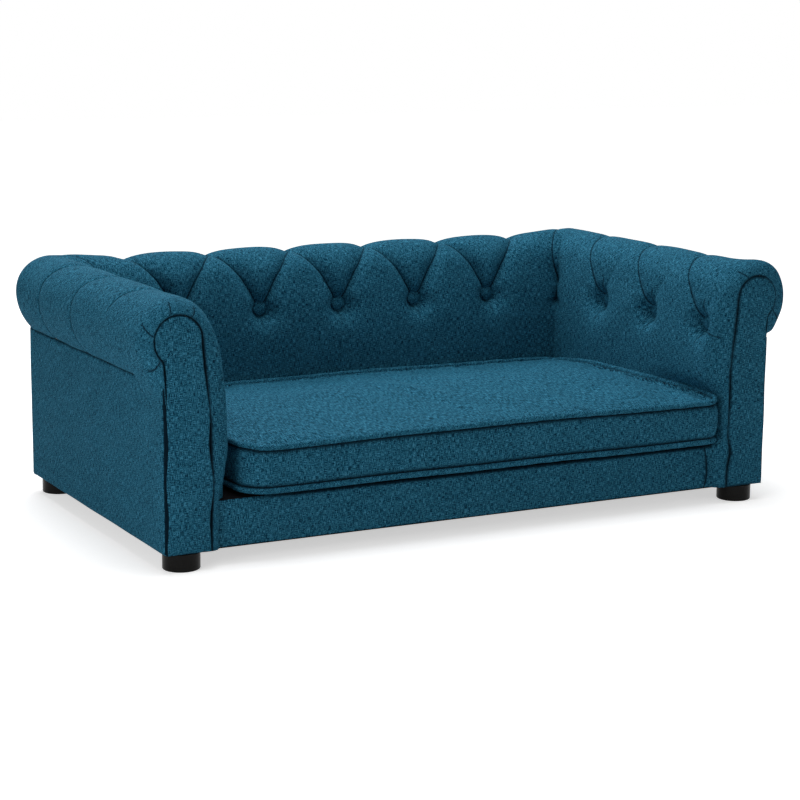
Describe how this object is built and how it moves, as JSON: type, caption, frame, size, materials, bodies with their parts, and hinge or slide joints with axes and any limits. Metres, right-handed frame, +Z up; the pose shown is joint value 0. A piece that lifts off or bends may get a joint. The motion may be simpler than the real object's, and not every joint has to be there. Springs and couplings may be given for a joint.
{
  "type": "dog sofa bed",
  "caption": "Low pet sofa with rolled, buttoned arms and back of one height, a loose piped cushion and short round feet.",
  "frame": {"origin": "centre of the bounding box at floor level, under the middle of the sofa", "axes": "+X to the right seen from the front, +Y from the open front to the back, +Z up"},
  "size_m": [1, 0.562, 0.355],
  "materials": {
    "linen_fabric": "matte",
    "button_fabric": "matte",
    "piping_fabric": "matte",
    "foam": "matte",
    "dust_cloth": "matte",
    "cardboard_tube": "matte",
    "plywood": "matte",
    "softwood": "matte",
    "black_plastic": "gloss",
    "twine": "matte",
    "zip_cloth": "matte",
    "zip_nylon": "satin",
    "dark_metal": "satin",
    "zinc_steel": "satin"
  },
  "bodies": {
    "sofa": {"arm_bottom_rail_left": "softwood", "arm_bottom_rail_right": "softwood", "arm_buttons_left": "button_fabric", "arm_buttons_right": "button_fabric", "arm_cover_left": "linen_fabric", "arm_cover_right": "linen_fabric", "arm_facing_left": "linen_fabric", "arm_facing_right": "linen_fabric", "arm_foam_left": "foam", "arm_foam_right": "foam", "arm_front_board_left": "plywood", "arm_front_board_right": "plywood", "arm_rear_board_left": "plywood", "arm_rear_board_right": "plywood", "arm_roll_tube_left": "cardboard_tube", "arm_roll_tube_right": "cardboard_tube", "arm_tack_rails": "softwood", "arm_tuft_board_left": "plywood", "arm_tuft_board_right": "plywood", "back_bottom_rail": "softwood", "back_buttons": "button_fabric", "back_cover": "linen_fabric", "back_end_board_left": "plywood", "back_end_board_right": "plywood", "back_foam": "foam", "back_panel": "linen_fabric", "back_roll_tube": "cardboard_tube", "back_tack_rail": "softwood", "back_tuft_board": "plywood", "base_bolts": "zinc_steel", "base_centre_beam": "softwood", "base_corner_blocks": "softwood", "base_front_rail": "softwood", "base_rear_rail": "softwood", "base_side_rail_left": "softwood", "base_side_rail_right": "softwood", "button_twines": "twine", "corner_buttons": "button_fabric", "deck_board": "plywood", "dust_cover": "dust_cloth", "foot_front_left": "black_plastic", "foot_front_right": "black_plastic", "foot_inserts": "zinc_steel", "foot_rear_left": "black_plastic", "foot_rear_right": "black_plastic", "foot_screws": "zinc_steel", "front_rail_cover": "linen_fabric", "joining_bolts": "zinc_steel", "joining_nuts": "zinc_steel", "side_panel_left": "linen_fabric", "side_panel_right": "linen_fabric", "twine_anchors": "zinc_steel"},
    "cushion": {"cushion_cover": "linen_fabric", "cushion_foam": "foam", "cushion_welt_top": "piping_fabric", "cushion_welt_bottom": "piping_fabric", "zip_tape": "zip_cloth", "zip_chain": "zip_nylon"},
    "zip_slider": {"zip_slider": "dark_metal"},
    "zip_pull": {"zip_pull": "dark_metal"}
  },
  "joints": [
    {"name": "cushion_lift", "type": "slide", "parent": "sofa", "child": "cushion", "axis": [0, 0, 1], "range_m": [0, 0.3]},
    {"name": "zip_slide", "type": "slide", "parent": "cushion", "child": "zip_slider", "axis": [-1, 0, 0], "range_m": [0, 0.454]},
    {"name": "zip_pull_swing", "type": "hinge", "parent": "zip_slider", "child": "zip_pull", "pos_m": [0.227, 0.15576, 0.12725], "axis": [1, 0, 0], "range_deg": [0, 8]}
  ]
}
